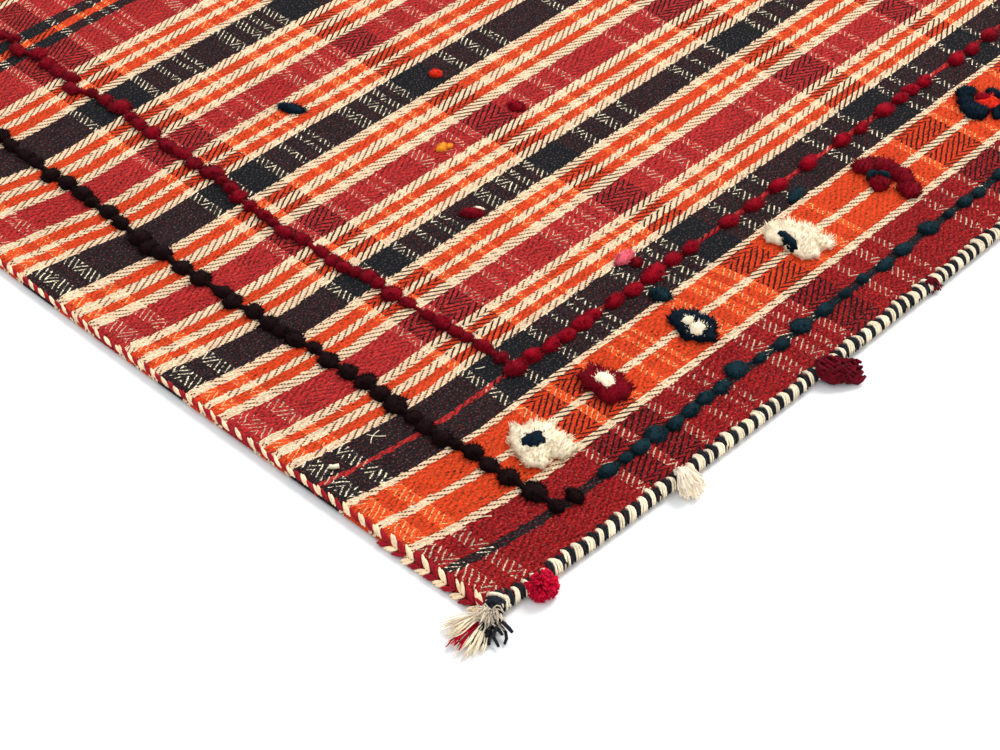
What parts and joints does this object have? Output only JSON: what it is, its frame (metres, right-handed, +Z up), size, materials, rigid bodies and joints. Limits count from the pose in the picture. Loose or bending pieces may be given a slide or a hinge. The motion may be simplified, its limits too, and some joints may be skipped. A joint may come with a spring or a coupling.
{
  "type": "jajim rug",
  "caption": "Flat-woven striped rug with bound edges, rows of wool tufts, tufted rounds and short tassels, lying flat on the floor.",
  "frame": {"origin": "middle of the rug's outline, at the floor", "axes": "+X along the warp, which is the length; +Y across the width; +Z up"},
  "size_m": [1.4896, 1.077, 0.0115],
  "materials": {
    "brown_wool": "matte cut wool pile",
    "corner_yarns": "matte knotted wool yarns",
    "crimson_wool": "matte cut wool pile",
    "red_and_cream_yarn": "matte twined wool yarn",
    "cream_wool": "matte cut wool pile",
    "navy_wool": "matte cut wool pile",
    "pink_wool": "matte cut wool pile",
    "teal_wool": "matte cut wool pile",
    "yellow_wool": "matte cut wool pile",
    "scarlet_wool": "matte cut wool pile",
    "black_and_cream_yarn": "matte wrapped wool yarn",
    "maroon_wool": "matte cut wool pile",
    "cloth": "matte twill weave"
  },
  "bodies": {
    "root": {"brown_tufts_left": "brown_wool", "brown_tufts_right": "brown_wool", "corner_tassel_1": "corner_yarns", "corner_tassel_2": "corner_yarns", "corner_tassel_3": "corner_yarns", "corner_tassel_4": "corner_yarns", "crimson_end_tufts_left": "crimson_wool", "crimson_end_tufts_right": "crimson_wool", "crimson_side_tufts_far": "crimson_wool", "crimson_side_tufts_near": "crimson_wool", "end_binding_left": "red_and_cream_yarn", "end_binding_right": "red_and_cream_yarn", "medallion_far_01": "cream_wool", "medallion_far_02": "crimson_wool", "medallion_far_03": "navy_wool", "medallion_far_04": "cream_wool", "medallion_far_05": "crimson_wool", "medallion_far_06": "navy_wool", "medallion_far_07": "cream_wool", "medallion_far_08": "crimson_wool", "medallion_far_09": "navy_wool", "medallion_far_10": "cream_wool", "medallion_far_11": "crimson_wool", "medallion_far_12": "navy_wool", "medallion_near_01": "cream_wool", "medallion_near_02": "crimson_wool", "medallion_near_03": "navy_wool", "medallion_near_04": "cream_wool", "medallion_near_05": "crimson_wool", "medallion_near_06": "navy_wool", "medallion_near_07": "cream_wool", "medallion_near_08": "crimson_wool", "medallion_near_09": "navy_wool", "medallion_near_10": "cream_wool", "medallion_near_11": "crimson_wool", "medallion_near_12": "navy_wool", "scattered_tuft_01": "pink_wool", "scattered_tuft_02": "teal_wool", "scattered_tuft_03": "teal_wool", "scattered_tuft_04": "crimson_wool", "scattered_tuft_05": "yellow_wool", "scattered_tuft_06": "crimson_wool", "scattered_tuft_07": "scarlet_wool", "scattered_tuft_08": "navy_wool", "scattered_tuft_09": "brown_wool", "side_binding_far": "black_and_cream_yarn", "side_binding_near": "black_and_cream_yarn", "side_tassel_far_1": "crimson_wool", "side_tassel_far_2": "cream_wool", "side_tassel_far_3": "maroon_wool", "side_tassel_near_1": "crimson_wool", "side_tassel_near_2": "cream_wool", "side_tassel_near_3": "maroon_wool", "side_tassel_near_4": "maroon_wool", "side_tassel_near_5": "cream_wool", "side_tassel_near_6": "crimson_wool", "teal_tufts_far": "teal_wool", "teal_tufts_near": "teal_wool", "woven_cloth": "cloth"}
  },
  "joints": []
}
